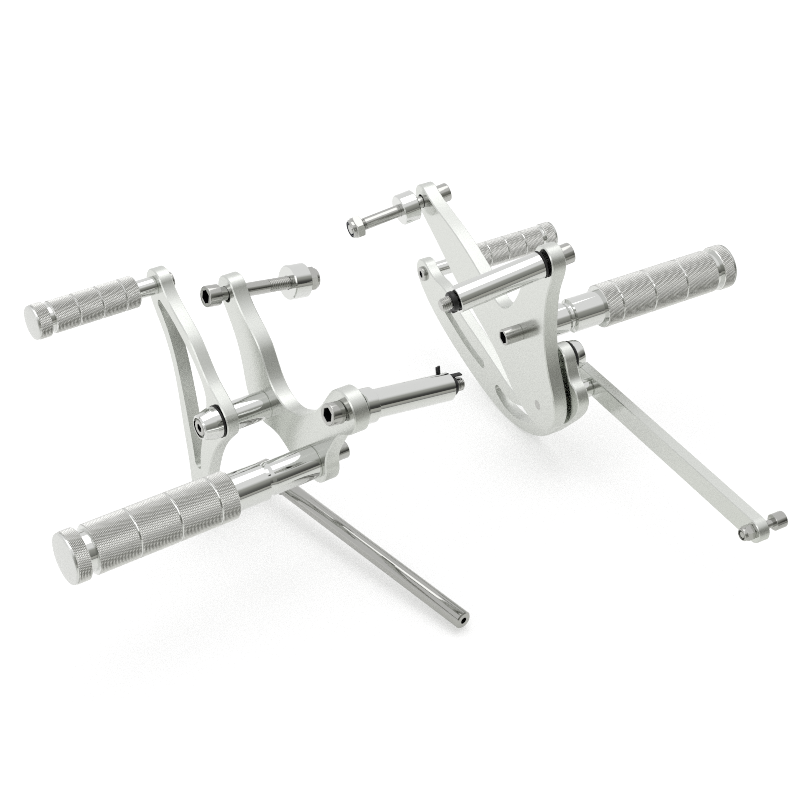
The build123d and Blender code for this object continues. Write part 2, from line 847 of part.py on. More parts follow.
with BuildPart() as brake_lever:
    with BuildSketch(brake_side.offset(brake_in)):
        with BuildLine():
            ThreePointArc(
                rim(brake_toe, brake_toe_boss_r, 125),
                rim(brake_toe, brake_toe_boss_r, 45),
                rim(brake_toe, brake_toe_boss_r, -35),
            )
            Spline(
                rim(brake_toe, brake_toe_boss_r, -35),
                (19.0, -121.0),
                (-25.0, -142.0),
                (-69.0, -156.5),
                (-106.0, -162.5),
                (-140.0, -158.5),
                (-169.0, -144.5),
                (-194.0, -121.5),
                (-213.0, -101.0),
                (-218.5, -87.0),
                (-214.0, -76.0),
                rim(brake_lobe, lobe_boss_r, 165),
                tangents=(clockwise(-35), clockwise(165)),
            )
            ThreePointArc(
                rim(brake_lobe, lobe_boss_r, 165),
                rim(brake_lobe, lobe_boss_r, 80),
                rim(brake_lobe, lobe_boss_r, 0),
            )
            Spline(
                rim(brake_lobe, lobe_boss_r, 0),
                (-168.0, -90.0),
                (-153.0, -117.0),
                (-130.0, -130.0),
                (-100.0, -123.5),
                (-67.0, -111.0),
                (-35.0, -100.0),
                (1.0, -87.5),
                rim(brake_toe, brake_toe_boss_r, 125),
                tangents=(clockwise(0), clockwise(125)),
            )
        make_face()
    extrude(amount=lever_thick)
    chamfer(rims(brake_lever, brake_side), plate_edge)
    with BuildSketch(brake_side.offset(brake_in)):
        with BuildLine():
            Spline((-13.0, -105.5), (-34.0, -114.5), (-51.0, -121.0), (-68.0, -125.5))
            ThreePointArc((-68.0, -125.5), (-72.5, -130.5), (-67.0, -134.0))
            Spline((-67.0, -134.0), (-57.0, -132.0), (-38.0, -126.5), (-21.0, -119.5), (-6.0, -112.5))
            ThreePointArc((-6.0, -112.5), (-5.0, -106.0), (-13.0, -105.5))
        make_face()
        with BuildLine():
            Spline((-98.0, -138.0), (-112.0, -141.0), (-132.0, -136.5), (-146.0, -128.0), (-157.0, -118.0))
            ThreePointArc((-157.0, -118.0), (-164.5, -117.5), (-165.5, -125.0))
            Spline(
                (-165.5, -125.0),
                (-144.0, -146.0),
                (-118.0, -153.8),
                (-103.0, -152.0),
                (-92.0, -146.0),
            )
            ThreePointArc((-92.0, -146.0), (-91.5, -139.0), (-98.0, -138.0))
        make_face()
    extrude(amount=lever_thick, mode=Mode.SUBTRACT)
    with BuildSketch(brake_side.offset(brake_in)):
        with Locations(brake_pin):
            Circle(brake_bush_d / 2)
        with Locations(brake_toe):
            Circle(toe_bolt_d / 2)
        with Locations(brake_lobe):
            Circle(lobe_screw_d / 2)
    extrude(amount=lever_thick, mode=Mode.SUBTRACT)
finish(brake_lever.part, "brake_lever")

pin_seat = through(brake_side, brake_pin)
bar_out = bar_in + bar_thick
finish(
    ring(pin_seat, brake_in, lever_thick, brake_bush_d, pin_d + 2 * running, 0.3),
    "brake_lever_bush",
)
finish(ring(pin_seat, brake_out, crank_len, crank_d, pin_d + 2 * running, 0.8), "brake_crank_sleeve")

with BuildPart() as brake_pin_piece:
    with BuildSketch(pin_seat):
        Circle(pin_d / 2)
    extrude(amount=bar_out + side_gap + clip_len)
    with BuildSketch(pin_seat.offset(bar_out + side_gap)):
        Circle(clip_d / 2)
    extrude(amount=clip_len)
    chamfer(brake_pin_piece.edges().group_by(Axis(pin_seat.origin, pin_seat.z_dir))[-1], 0.8)
finish(brake_pin_piece.part, "brake_pin")

bar_way = (Vector(*bar_rear) - Vector(*bar_front)).normalized()
bar_half = Vector(-bar_way.Y, bar_way.X) * bar_high / 2
with BuildPart() as link_bar:
    with BuildSketch(brake_side.offset(bar_in)):
        with BuildLine():
            Polyline(
                Vector(*bar_rear) + bar_half,
                Vector(*bar_front) + bar_half,
                Vector(*bar_front) - bar_half,
                Vector(*bar_rear) - bar_half,
            )
            ThreePointArc(
                Vector(*bar_rear) - bar_half,
                Vector(*bar_rear) + bar_way * bar_high / 2,
                Vector(*bar_rear) + bar_half,
            )
        make_face()
    extrude(amount=bar_thick)
    chamfer(rims(link_bar, brake_side), plate_edge * 0.7)
    with BuildSketch(brake_side.offset(bar_in)):
        with Locations(brake_pin):
            Circle(pin_d / 2 + running)
        with Locations(bar_rear):
            Circle(bar_bolt_d / 2)
    extrude(amount=bar_thick, mode=Mode.SUBTRACT)
finish(link_bar.part, "link_bar")

bar_bolt_seat = facing(through(brake_side, bar_rear, bar_out))
finish(
    cap_screw(
        bar_bolt_seat, -bar_shank, bar_thick + bar_nut_len + 2.0,
        bar_bolt_d, bar_head_d, bar_head_len, bar_bolt_d,
    ),
    "bar_bolt",
)
finish(
    lock_nut(
        bar_bolt_seat, bar_thick, bar_bolt_d, bar_nut_flats,
        bar_nut_len, bar_nut_flats * 0.95, 2.5,
    ),
    "bar_nut",
)

# Cap and seal ring on the brake lever's rear lobe
lobe_seat = through(brake_side, brake_lobe)
finish(ring(lobe_seat, brake_out, oring_len, oring_d, lobe_screw_d, 0.7), "brake_lobe_seal")
finish(end_cap(lobe_seat, brake_out + oring_len, 1, lobe_screw_d), "brake_lobe_cap")
finish(
    cap_screw(
        facing(lobe_seat.offset(brake_out + oring_len + cap_len - cap_well_deep)), 0,
        oring_len + cap_len - cap_well_deep + lever_thick,
        lobe_screw_d, cap_screw_head_d, cap_well_deep, socket_d * 0.8,
    ),
    "brake_lobe_screw",
)

# Toe peg of the brake side
brake_toe_seat = through(brake_side, brake_toe, brake_out)
finish(ring(brake_toe_seat, 0, brake_stub_len, stub_d, toe_bolt_d, 0.6), "brake_toe_stub")
finish(toe_peg(outward(brake_toe_seat.offset(brake_stub_len), 1)), "brake_toe_peg")
finish(
    cap_screw(
        through(brake_side, brake_toe, brake_in), 0,
        lever_thick + brake_stub_len + toe_bolt_deep,
        toe_bolt_d, toe_bolt_head_d, brake_toe_head_len, socket_d * 0.8,
    ),
    "brake_toe_bolt",
)
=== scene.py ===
"""Looks of a pair of motorcycle forward controls on a white studio floor.

Sizes of pieces in this file are millimetres along or across the piece's own axis. Places in the studio are
metres.
"""

import json
from math import cos, radians, sin

import bmesh
import bpy
import numpy as np
from mathutils import Matrix, Vector


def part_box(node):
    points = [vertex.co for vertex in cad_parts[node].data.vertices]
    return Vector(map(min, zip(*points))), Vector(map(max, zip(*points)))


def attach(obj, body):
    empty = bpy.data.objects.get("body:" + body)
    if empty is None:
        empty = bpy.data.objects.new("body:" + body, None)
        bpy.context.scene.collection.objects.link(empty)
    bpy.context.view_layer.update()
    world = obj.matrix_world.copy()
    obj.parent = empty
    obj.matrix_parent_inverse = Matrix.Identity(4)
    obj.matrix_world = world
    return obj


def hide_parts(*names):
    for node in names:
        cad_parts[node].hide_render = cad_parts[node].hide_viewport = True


MM = 0.001

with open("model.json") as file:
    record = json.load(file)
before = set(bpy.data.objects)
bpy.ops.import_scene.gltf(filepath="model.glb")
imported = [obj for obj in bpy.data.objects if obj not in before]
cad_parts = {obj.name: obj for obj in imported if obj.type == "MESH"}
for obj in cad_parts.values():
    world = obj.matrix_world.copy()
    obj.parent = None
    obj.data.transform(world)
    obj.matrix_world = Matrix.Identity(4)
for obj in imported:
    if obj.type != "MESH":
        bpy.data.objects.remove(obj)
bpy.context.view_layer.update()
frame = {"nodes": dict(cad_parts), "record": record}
scene = bpy.context.scene
nodes = frame["nodes"]


# Helpers for materials

def linear(hex_colour):
    """Linear RGBA of an sRGB hex colour such as d8d9d8."""
    value = np.array([int(hex_colour[i:i + 2], 16) for i in (0, 2, 4)]) / 255
    value = np.where(value <= 0.04045, value / 12.92, ((value + 0.055) / 1.055) ** 2.4)
    return (*value.tolist(), 1.0)


def add(tree, kind, inputs=(), **settings):
    """Adds one node. inputs pairs a socket's name or number with a value or with another socket."""
    made = tree.nodes.new(kind)
    for key, value in settings.items():
        setattr(made, key, value)
    for key, value in dict(inputs).items():
        if isinstance(value, bpy.types.NodeSocket):
            tree.links.new(value, made.inputs[key])
        else:
            made.inputs[key].default_value = value
    return made


def finish_of(name, colour, metallic, smoothest, roughest, mark_mm, bump_mm, stretch=(1, 1, 1)):
    """Metal or plastic whose gloss and height vary with fine marks.

    mark_mm is the size of the marks and bump_mm their depth. stretch scales the marks along each axis.
    """
    made = bpy.data.materials.new(name)
    made.use_nodes = True
    tree = made.node_tree
    surface = tree.nodes["Principled BSDF"]
    surface.inputs["Base Color"].default_value = linear(colour)
    surface.inputs["Metallic"].default_value = metallic
    place = add(tree, "ShaderNodeTexCoord")
    scaled = add(tree, "ShaderNodeMapping", {"Vector": place.outputs["Object"], "Scale": stretch})
    marks = add(
        tree, "ShaderNodeTexNoise",
        {"Vector": scaled.outputs["Vector"], "Scale": 1 / (mark_mm * MM), "Detail": 3.0},
    )
    gloss = add(tree, "ShaderNodeMapRange", {
        "Value": marks.outputs["Fac"], "From Min": 0.3, "From Max": 0.7, "To Min": smoothest, "To Max": roughest,
    })
    tree.links.new(gloss.outputs["Result"], surface.inputs["Roughness"])
    bump = add(
        tree, "ShaderNodeBump",
        {"Height": marks.outputs["Fac"], "Distance": bump_mm * MM, "Strength": 1.0},
    )
    tree.links.new(bump.outputs["Normal"], surface.inputs["Normal"])
    return made


# Billet plates and levers: fine ground, then buffed until they mirror their neighbours
buffed = finish_of("aluminium_ground_and_buffed", "d9dbd7", 1.0, 0.14, 0.21, 1.2, 0.0004)
# Their rims, which face away from Y, keep the milling cutter's satin finish
tree = buffed.node_tree
facing = add(tree, "ShaderNodeSeparateXYZ", {0: add(tree, "ShaderNodeTexCoord").outputs["Normal"]})
flat = add(tree, "ShaderNodeMath", {0: facing.outputs["Y"]}, operation="ABSOLUTE")
rim = add(
    tree, "ShaderNodeMapRange",
    {"Value": flat.outputs["Value"], "From Min": 0.9, "From Max": 0.5, "To Min": 0.0, "To Max": 0.2},
)
surface = tree.nodes["Principled BSDF"]
gloss = surface.inputs["Roughness"].links[0].from_socket
both = add(tree, "ShaderNodeMath", {0: gloss, 1: rim.outputs["Result"]}, operation="ADD")
tree.links.new(both.outputs["Value"], surface.inputs["Roughness"])
# Posts, tubes, sleeves and caps: turned along Y and polished, with faint rings left by the tool
polished = finish_of("aluminium_turned_and_polished", "e0e1df", 1.0, 0.02, 0.05, 0.5, 0.0001, (0.05, 1, 0.05))
# Knurled grip: crushed by the knurling wheel. Its colour carries painted shade, darker in the grooves and
# lighter on the crests, set by the knurl's height
knurled = finish_of("aluminium_diamond_knurled", "e4e4e0", 1.0, 0.16, 0.26, 0.3, 0.001)
tree = knurled.node_tree
height = add(tree, "ShaderNodeAttribute", attribute_name="knurl_height")
# Painted shade: the knurl's height picks a dark tone in the grooves and a light one on the crests
groove_shade_ramp = add(tree, "ShaderNodeValToRGB", {"Fac": height.outputs["Fac"]})
groove_shade_ramp.color_ramp.elements[0].color = linear("93938e")
groove_shade_ramp.color_ramp.elements[1].color = linear("f6f6f4")
tree.links.new(groove_shade_ramp.outputs["Color"], tree.nodes["Principled BSDF"].inputs["Base Color"])
# Domed end of a peg, bead blasted
blasted = finish_of("aluminium_bead_blasted", "dcdddb", 1.0, 0.34, 0.46, 0.15, 0.002)
# Bolts and nuts: forged, plated bright
plated = finish_of("steel_chrome_plated", "bcbcb9", 1.0, 0.1, 0.18, 0.8, 0.0003)
# Inside of a hexagon socket: painted near-black for the shade deep in the recess
socket_painted_shade = finish_of("steel_socket_painted_shade", "17171a", 0.6, 0.35, 0.5, 0.3, 0.001)
# Shift rod: centreless ground, so it is nearly as bright as the polished posts
ground = finish_of("steel_centreless_ground_rod", "b6b6b3", 1.0, 0.03, 0.07, 0.4, 0.0001, (1, 0.05, 0.05))
# Sintered and turned bushes, warm and duller than the aluminium
bronze = finish_of("bronze_turned_bush", "a98a58", 1.0, 0.22, 0.32, 0.4, 0.0005, (0.05, 1, 0.05))
# Ties: moulded, with a faint skin texture
black_nylon = finish_of("nylon_moulded_black", "101011", 0.0, 0.28, 0.42, 0.4, 0.004)
# O-rings and the ring on the brake tube: moulded, matt
black_rubber = finish_of("rubber_moulded_black", "0b0b0b", 0.0, 0.45, 0.6, 0.3, 0.003)
# Locking inserts of the nuts: moulded, waxy
blue_nylon = finish_of("nylon_moulded_dark_blue", "161d2e", 0.0, 0.3, 0.42, 0.4, 0.003)

looks = {
    "bracket_alu": buffed,
    "lever_alu": buffed,
    "peg_alu": knurled,
    "polished_alu": polished,
    "steel": plated,
    "bush_brass": bronze,
    "tie_plastic": black_nylon,
    "seal_rubber": black_rubber,
    "insert_plastic": blue_nylon,
}
slots = {part["node"]: part["material_slot"] for part in frame["record"]["subparts"]}
for node, slot in slots.items():
    mesh = nodes[node].data
    mesh.materials.clear()
    mesh.materials.append(looks[slot])
nodes["shift_rod"].data.materials[0] = ground
nodes["brake_rear_ring"].data.materials[0] = black_rubber


# Directions of both sides: the brake unit lies turned about Z and tilted

brake_turn = radians(8.9)
brake_tilt = radians(3.8)
brake_out = np.array([
    -sin(brake_turn) * cos(brake_tilt),
    -cos(brake_turn) * cos(brake_tilt),
    sin(brake_tilt),
])
brake_up = np.cross(brake_out, (cos(brake_turn), -sin(brake_turn), 0))
shift_out = np.array([0.0, 1.0, 0.0])
up = np.array([0.0, 0.0, 1.0])


def hanging(inboard, upward, droop):
    """Direction of a loose frame bolt that hangs down by droop degrees."""
    return inboard * cos(radians(droop)) - upward * sin(radians(droop))


def axis_of(node, way):
    """Axis of a round CAD node along the direction way: its start, the direction and two across."""
    points = np.array([v.co for v in nodes[node].data.vertices])
    across = up - np.dot(up, way) * way
    across /= np.linalg.norm(across)
    other = np.cross(way, across)
    flat = np.stack([points @ across, points @ other], 1)
    middle = (flat.min(0) + flat.max(0)) / 2
    start = (points @ way).min()
    return start * way + middle[0] * across + middle[1] * other, way, across, other


def length_of(node, way):
    """Length of a CAD node along a direction, in millimetres."""
    along = np.array([v.co for v in nodes[node].data.vertices]) @ way
    return (along.max() - along.min()) / MM


# Turned pieces

sharp_edge = radians(35)


def turned(name, axis, rings, materials, columns):
    """Surface of revolution: point = axis start + station * direction + radius * (cos, sin of the turn).

    Each ring holds its station, its radius or the radius of each of its points, the material of the row
    before it, and its knurl's heights if any. A row between two knurled rings is split into triangles along
    the knurl's valleys, and the other rows are quads.
    """
    origin, way, across, other = axis
    stations = np.array([item[0] for item in rings])
    radii = np.stack([np.broadcast_to(item[1], columns) for item in rings])
    zones = np.array([item[2] for item in rings])[1:]
    knurl = np.array([item[3] is not None for item in rings])
    knurl = knurl[1:] & knurl[:-1]
    heights = np.stack([np.ones(columns) if item[3] is None else item[3] for item in rings])
    turn = np.arange(columns) * 2 * np.pi / columns
    spoke = np.cos(turn)[:, None] * across + np.sin(turn)[:, None] * other
    points = origin + MM * (stations[:, None, None] * way + radii[:, :, None] * spoke)
    row, column = np.mgrid[0:len(stations) - 1, 0:columns]
    following = (column + 1) % columns
    a, b = row * columns + column, row * columns + following
    c, d = (row + 1) * columns + following, (row + 1) * columns + column
    quads = np.stack([a, b, c, d], -1)[~knurl].reshape(-1, 4)
    even = ((row + column) % 2 == 0)[..., None]
    first = np.where(even, np.stack([a, b, c], -1), np.stack([a, b, d], -1))
    second = np.where(even, np.stack([a, c, d], -1), np.stack([b, c, d], -1))
    thirds = np.concatenate([first[knurl].reshape(-1, 3), second[knurl].reshape(-1, 3)])
    mesh = bpy.data.meshes.new(name)
    mesh.from_pydata(points.reshape(-1, 3).tolist(), [], quads.tolist() + thirds.tolist())
    plain_zone = np.repeat(zones[~knurl], columns)
    knurl_zone = np.tile(np.repeat(zones[knurl], columns), 2)
    mesh.polygons.foreach_set("material_index", np.concatenate([plain_zone, knurl_zone]).astype(np.int32))
    smooth = np.concatenate([np.ones(len(quads), bool), np.zeros(len(thirds), bool)])
    mesh.polygons.foreach_set("use_smooth", smooth)
    # Knurl height at each point, which the knurl's material uses to paint shade into the grooves
    knurl_shade_height = mesh.attributes.new("knurl_height", "FLOAT", "POINT")
    knurl_shade_height.data.foreach_set("value", heights.ravel().astype(np.float32))
    for material in materials:
        mesh.materials.append(material)
    mesh.update()
    mesh.set_sharp_from_angle(angle=sharp_edge)
    made = bpy.data.objects.new(name, mesh)
    scene.collection.objects.link(made)
    return made


def stand_for(made, node):
    """Puts a new piece in place of a CAD node, on the same body; the caller gives it its finish."""
    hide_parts(node)
    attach(made, body_of[node])


body_of = {
    node: body for body, members in frame["record"]["behaviour"]["bodies"].items() for node in members
}


# Pegs

steps_per_pitch = 4
knurl_flat = 0.5
knurl_depth = 0.1
band_bevel = 0.4


def knurl_height(columns, rows):
    """Diamond knurl: two families of V grooves that cross, height = min(V(row + column), V(row - column)).

    Both families have their valley at 0 and their crest at 1. The lower of the two is the surface, cut
    flat near the crest as the knurling wheel leaves it.
    """
    row, column = np.mgrid[0:rows, 0:columns]
    family = [(row + column) / steps_per_pitch, (row - column) / steps_per_pitch]
    wave = [1 - 2 * np.abs((part % 1) - 0.5) for part in family]
    return np.minimum(np.minimum(wave[0], wave[1]), knurl_flat) / knurl_flat


def peg(name, node, way, body, sizes, teeth):
    """Foot or toe peg: knurled bands between turned grooves, polished neck, knurled rim, domed end.

    sizes holds the short band, band, bands, groove, groove depth, neck, neck radius, rim, rim radius and
    dome, as in the CAD source. teeth is the number of knurl pitches around the body.
    """
    short, band, bands, groove, deep, neck, neck_r, rim, rim_r, dome = sizes
    columns = teeth * steps_per_pitch
    # Diamonds are longer than wide, as two families of grooves at 30 degrees to the axis cut them
    pitch = 2 * np.pi * body / teeth * 3 ** 0.5
    step = pitch / steps_per_pitch
    depth = knurl_depth * pitch
    rings = []

    def ring(x, r, zone):
        rings.append((x, r, zone, None))

    def knurled_band(start, end, radius):
        """Rings of one knurled band, with bevelled ends and a whole number of rows.

        Its first ring has an even number, so that all bands are split along the same diagonals.
        """
        rows = max(steps_per_pitch, int(round((end - start) / step)))
        if len(rings) % 2:
            ring(start, radius - 2 * band_bevel, 0)
        place = np.linspace(start, end, rows + 1)
        edge = np.clip(np.minimum(place - start, end - place) / band_bevel, 0, 1)
        for x, bumps, painted_reflection_ramp in zip(place, knurl_height(columns, rows + 1), edge):
            rings.append((x, radius - depth * (1 - bumps) - band_bevel * (1 - painted_reflection_ramp), 0, bumps))

    ring(0.0, 0.4 * body, 1)
    ring(0.0, body - 2 * band_bevel, 1)
    start = band_bevel
    for index in range(bands):
        end = short + index * band - groove / 2
        knurled_band(start, end, body)
        ring(end, body - 0.5, 1)
        ring(end + groove / 2, body - deep, 1)
        ring(end + groove, body - 0.5, 1)
        start = end + groove
    end = short + bands * band
    knurled_band(start, end - band_bevel, body)
    ring(end, body - 1.0, 1)
    ring(end, neck_r, 1)
    ring(end + neck, neck_r, 1)
    length = end + neck + rim
    ring(end + neck, rim_r - 1.0, 1)
    knurled_band(end + neck + band_bevel, length - 2.2, rim_r)
    ring(length - 2.1, rim_r - 0.9, 1)
    ring(length - 1.3, rim_r - 0.9, 1)
    # The rounded corner, then the dome as part of a sphere
    corner = 1.2
    for turn in np.linspace(0, np.pi / 2, 7):
        ring(length - corner + corner * np.sin(turn), rim_r - 0.3 - corner * (1 - np.cos(turn)), 2)
    face = rim_r - 0.3 - corner
    curve = (face**2 + dome**2) / (2 * dome)
    for share in np.linspace(0.97, 0.001, 12):
        ring(length + dome - curve + (curve**2 - (face * share) ** 2) ** 0.5, face * share, 2)
    stand_for(turned(name, axis_of(node, way), rings, [knurled, polished, blasted], columns), node)


# Radius, sizes and teeth. The knurl is a medium one, with 1.2 mm between grooves round the peg
foot = (17.3, (14.0, 30.0, 3, 1.1, 0.9, 5.5, 14.5, 11.5, 18.0, 1.6), 90)
toe = (11.7, (11.0, 18.0, 3, 0.9, 0.7, 3.0, 10.0, 11.0, 12.5, 1.0), 62)
for kind, (body, sizes, teeth) in (("foot", foot), ("toe", toe)):
    for side, outward in (("shift", shift_out), ("brake", brake_out)):
        peg(f"{side}_{kind}_grip", f"{side}_{kind}_peg", outward, body, sizes, teeth)


# Screws and nuts

thread_depth = 0.54
head_corner = 0.9
# Slope of the 30 degree chamfer on a nut's corners
nut_slope = 0.58
collar_corner = 1.2


def hexagon(flats, columns):
    """Radius of a hexagon at each point of a ring."""
    turn = np.arange(columns) * 2 * np.pi / columns
    return flats / 2 / np.cos(turn % (np.pi / 3) - np.pi / 6)


def screw(node, way, head_sizes, thread, threaded, sunk=0.0):
    """Socket head screw with a helical thread over its last part, in place of a CAD node.

    head_sizes holds the head's diameter, its length and the socket's width over flats, and thread its
    diameter and pitch. The thread's radius is a V wave of station / pitch - turn / full turn. The head lies
    deeper than the CAD node's by sunk.
    """
    head_d, head_len, socket_flats = head_sizes
    shank_d, pitch = thread
    columns = 48
    length = length_of(node, way) - sunk
    origin, *directions = axis_of(node, way)
    axis = (origin + sunk * MM * way, *directions)
    head, shank = head_d / 2, shank_d / 2
    socket = hexagon(socket_flats, columns)
    deep = 0.5 * head_len
    cut = thread_depth * pitch
    tip = length - 0.6 * pitch
    # The socket's rings take the second material, painted dark for the shade in the recess
    rings = [
        (deep + 0.2, 0.02, 1, None),
        (deep, socket * 0.98, 1, None),
        (0.35, socket, 1, None),
        (0.0, socket + 0.35, 0, None),
    ]
    for turn in np.linspace(0, np.pi / 2, 6):
        x, r = head_corner * (1 - np.cos(turn)), head - head_corner * (1 - np.sin(turn))
        rings.append((x, r, 0, None))
    rings += [
        (head_len - 0.3, head, 0, None),
        (head_len, head - 0.3, 0, None),
        (head_len, shank, 0, None),
        (length - threaded - 0.3, shank, 0, None),
    ]
    turn = np.arange(columns) / columns
    for x in np.arange(length - threaded, tip, pitch / 8):
        phase = (x / pitch - turn) % 1
        crest = np.clip(3.0 * np.abs(phase - 0.5) - 0.25, 0, 1)
        rings.append((x, shank - 0.05 - cut * (1 - crest), 0, None))
    rings += [
        (tip + 0.1, shank - cut, 0, None),
        (length, shank - 1.5 * cut, 0, None),
        (length, 0.02, 0, None),
    ]
    stand_for(turned(f"{node}_threaded", axis, rings, [plated, socket_painted_shade], columns), node)


def nut(node, way, flats, length, bore_d, collar_d=0.0, collar_len=0.0):
    """Hexagon nut with chamfered corners, and the rolled collar of a lock nut if any.

    The corners end where the hexagon meets the chamfer's cone: radius = min(hexagon, cone).
    """
    columns = 96
    side = hexagon(flats, columns)
    bore, face = bore_d / 2, 0.475 * flats
    drop = (flats / 3**0.5 - face) * nut_slope
    rings = [(0.4, bore, 0, None), (0.0, bore + 0.4, 0, None)]
    for share in np.linspace(0, 1, 6):
        rings.append((share * drop, np.minimum(side, face + share * drop / nut_slope), 0, None))
    for share in np.linspace(1, 0, 6):
        rings.append((length - share * drop, np.minimum(side, face + share * drop / nut_slope), 0, None))
    if collar_len:
        collar = collar_d / 2
        top = length + collar_len
        rings.append((length, collar, 0, None))
        for turn in np.linspace(0, np.pi / 2, 6):
            x = top - collar_corner * (1 - np.sin(turn))
            rings.append((x, collar - collar_corner * (1 - np.cos(turn)), 0, None))
        lip = collar - collar_corner
        rings += [(top - 0.5, lip, 0, None), (length, lip, 0, None)]
    rings += [(length, bore + 0.4, 0, None), (length - 0.4, bore, 0, None), (0.4, bore, 0, None)]
    stand_for(turned(f"{node}_hex", axis_of(node, way), rings, [plated], columns), node)


# Loose frame bolts hang down in their holes, by the same angles as in the CAD source
shift_front_way = hanging(-shift_out, up, 8.3)
shift_rear_way = hanging(-shift_out, up, 8.0)
brake_front_way = hanging(-brake_out, brake_up, 5.7)
brake_rear_way = hanging(-brake_out, brake_up, 5.8)
rod_drop, rod_yaw = radians(3.5), radians(6.5)
rod_way = np.array([-cos(rod_drop) * cos(rod_yaw), -cos(rod_drop) * sin(rod_yaw), -sin(rod_drop)])

# Threads: diameter and pitch
m10, m8, m6 = (10.0, 1.5), (8.0, 1.25), (6.0, 1.0)
frame_head = (15.5, 10.0, 9.0)
peg_head = (13.0, 15.0, 8.8)

screw("shift_front_bolt", shift_front_way, frame_head, m10, 41.7)
screw("brake_front_bolt", brake_front_way, frame_head, m10, 13.0)
screw("shift_rear_bolt", shift_rear_way, frame_head, m10, 12.0)
screw("brake_rear_bolt", brake_rear_way, frame_head, m10, 12.0)
screw("shift_peg_screw", shift_out, peg_head, m8, 14.0)
screw("brake_peg_screw", brake_out, peg_head, m8, 14.0)
screw("shift_toe_bolt", shift_out, (13.0, 4.0, 5.5), m8, 10.0)
screw("brake_toe_bolt", brake_out, (13.0, 2.5, 5.5), m8, 10.0)
screw("rod_end_bolt", -shift_out, (13.0, 7.0, 5.5), m8, 8.0)
screw("bar_bolt", -brake_out, (12.0, 9.0, 5.2), m6, 9.0)
screw("brake_lobe_screw", -brake_out, (12.0, 4.0, 5.5), m6, 6.0, sunk=5.5)
screw("shift_pivot_screw", -shift_out, (12.0, 4.5, 5.5), m10, 9.0)

frame_nut = (17.0, 7.0, 10.0, 15.5, 3.0)
nut("shift_front_nut", shift_front_way, *frame_nut)
nut("brake_front_nut", brake_front_way, *frame_nut)
nut("rod_end_nut", -shift_out, 13.0, 6.5, 8.0)
nut("rod_jam_nut", rod_way, 13.0, 5.0, 9.0)
nut("bar_nut", -brake_out, 10.0, 6.0, 6.0, 9.5, 2.5)


# Low cap on the brake lever's lobe: a drum with a rounded top and a well for the screw's head
cap_r, cap_bore, cap_well, cap_high = 11.5, 3.1, 7.5, 8.0
cap_rings = [
    (0.0, cap_bore, 0, None),
    (0.0, cap_r - 0.3, 0, None),
    (0.3, cap_r, 0, None),
    (3.2, cap_r, 0, None),
]
for turn in np.linspace(0, np.pi / 2, 7):
    x, r = cap_high - 2.0 + 2.0 * np.sin(turn), cap_r - 0.9 - 2.2 * (1 - np.cos(turn))
    cap_rings.append((x, r, 0, None))
cap_rings += [
    (cap_high, cap_well, 0, None),
    (4.0, cap_well, 0, None),
    (4.0, cap_bore, 0, None),
    (0.0, cap_bore, 0, None),
]
lobe_axis = axis_of("brake_lobe_cap", brake_out)
stand_for(turned("brake_lobe_low_cap", lobe_axis, cap_rings, [polished], 96), "brake_lobe_cap")


# Plastic ties on the rear bolts, on the part that stands out of the tube

bolt_beyond_tube = 12.0


def placed(x_way, y_way, z_way, origin):
    """Matrix with three directions as its columns and an origin."""
    turn = Matrix((x_way, y_way, z_way)).transposed().to_4x4()
    return Matrix.Translation(origin) @ turn


def strap(shape, axis, start, end, wide, thick):
    """Adds a flat bar with rounded edges to a mesh: from start to end, in the axis's own directions."""
    origin, way, across, other = axis
    ends = [origin + MM * (p[0] * way + p[1] * across + p[2] * other) for p in (start, end)]
    run = Vector(ends[1] - ends[0])
    along = run.normalized()
    side = Vector(way) if abs(along.dot(Vector(way))) < 0.7 else Vector(other)
    third = run.cross(side).normalized()
    side = third.cross(run).normalized()
    place = placed(along, side, third, Vector((ends[0] + ends[1]) / 2))
    size = Matrix.Diagonal((run.length, wide * MM, thick * MM, 1))
    bar = bmesh.ops.create_cube(shape, size=1.0, matrix=place @ size)
    edges = list(dict.fromkeys(edge for vert in bar["verts"] for edge in vert.link_edges))
    rounding = min(wide, thick) * 0.22 * MM
    bmesh.ops.bevel(shape, geom=edges, offset=rounding, segments=2, affect="EDGES", profile=0.6)


def tie(node, way, straps):
    """Band round a bolt with its lock and its cut tail, in place of a CAD node.

    straps holds each flat bar's start, end, width and thickness, with places counted from the band's start.
    """
    bolt = node.replace("_tie", "_bolt")
    axis = axis_of(bolt, way)
    start = length_of(bolt, way) - bolt_beyond_tube
    bore, outer, corner = 5.05, 7.4, 0.8
    first, last = start + 0.3, start + 4.5
    rings = [(first, bore, 0, None), (first, outer - corner, 0, None)]
    for turn in np.linspace(0, np.pi, 9):
        x = (first + last) / 2 - (last - first) / 2 * np.cos(turn)
        rings.append((x, outer - corner + corner * np.sin(turn), 0, None))
    rings += [(last, bore, 0, None), (first, bore, 0, None)]
    made = turned(f"{node}_band", axis, rings, [black_nylon], 64)
    shape = bmesh.new()
    shape.from_mesh(made.data)
    for low, high, wide, thick in straps:
        low, high = ((start + point[0], *point[1:]) for point in (low, high))
        strap(shape, axis, low, high, wide, thick)
    shape.to_mesh(made.data)
    shape.free()
    stand_for(made, node)


tie("brake_rear_tie", brake_rear_way, [
    ((2.4, -4.6, 0.6), (2.4, -9.0, 0.6), 4.6, 5.4),
    ((2.4, -7.0, 1.0), (2.4, -12.5, 6.5), 3.4, 1.2),
])
tie("shift_rear_tie", shift_rear_way, [
    ((0.4, 7.8, 0.0), (10.0, 7.8, 0.0), 3.6, 1.1),
    ((0.6, 3.5, -9.8), (-1.5, 5.0, -10.4), 3.4, 1.2),
    ((-1.2, 4.5, -10.5), (-3.6, 11.6, -9.4), 3.4, 1.2),
])


# Studio

# Both units lie on the floor, with half a millimetre of air
lowest = min(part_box(name)[0].z for name in nodes)
bpy.ops.mesh.primitive_plane_add(size=14, location=(0, 0, lowest - 0.5 * MM))
floor = bpy.context.object
floor.name = "studio_floor"
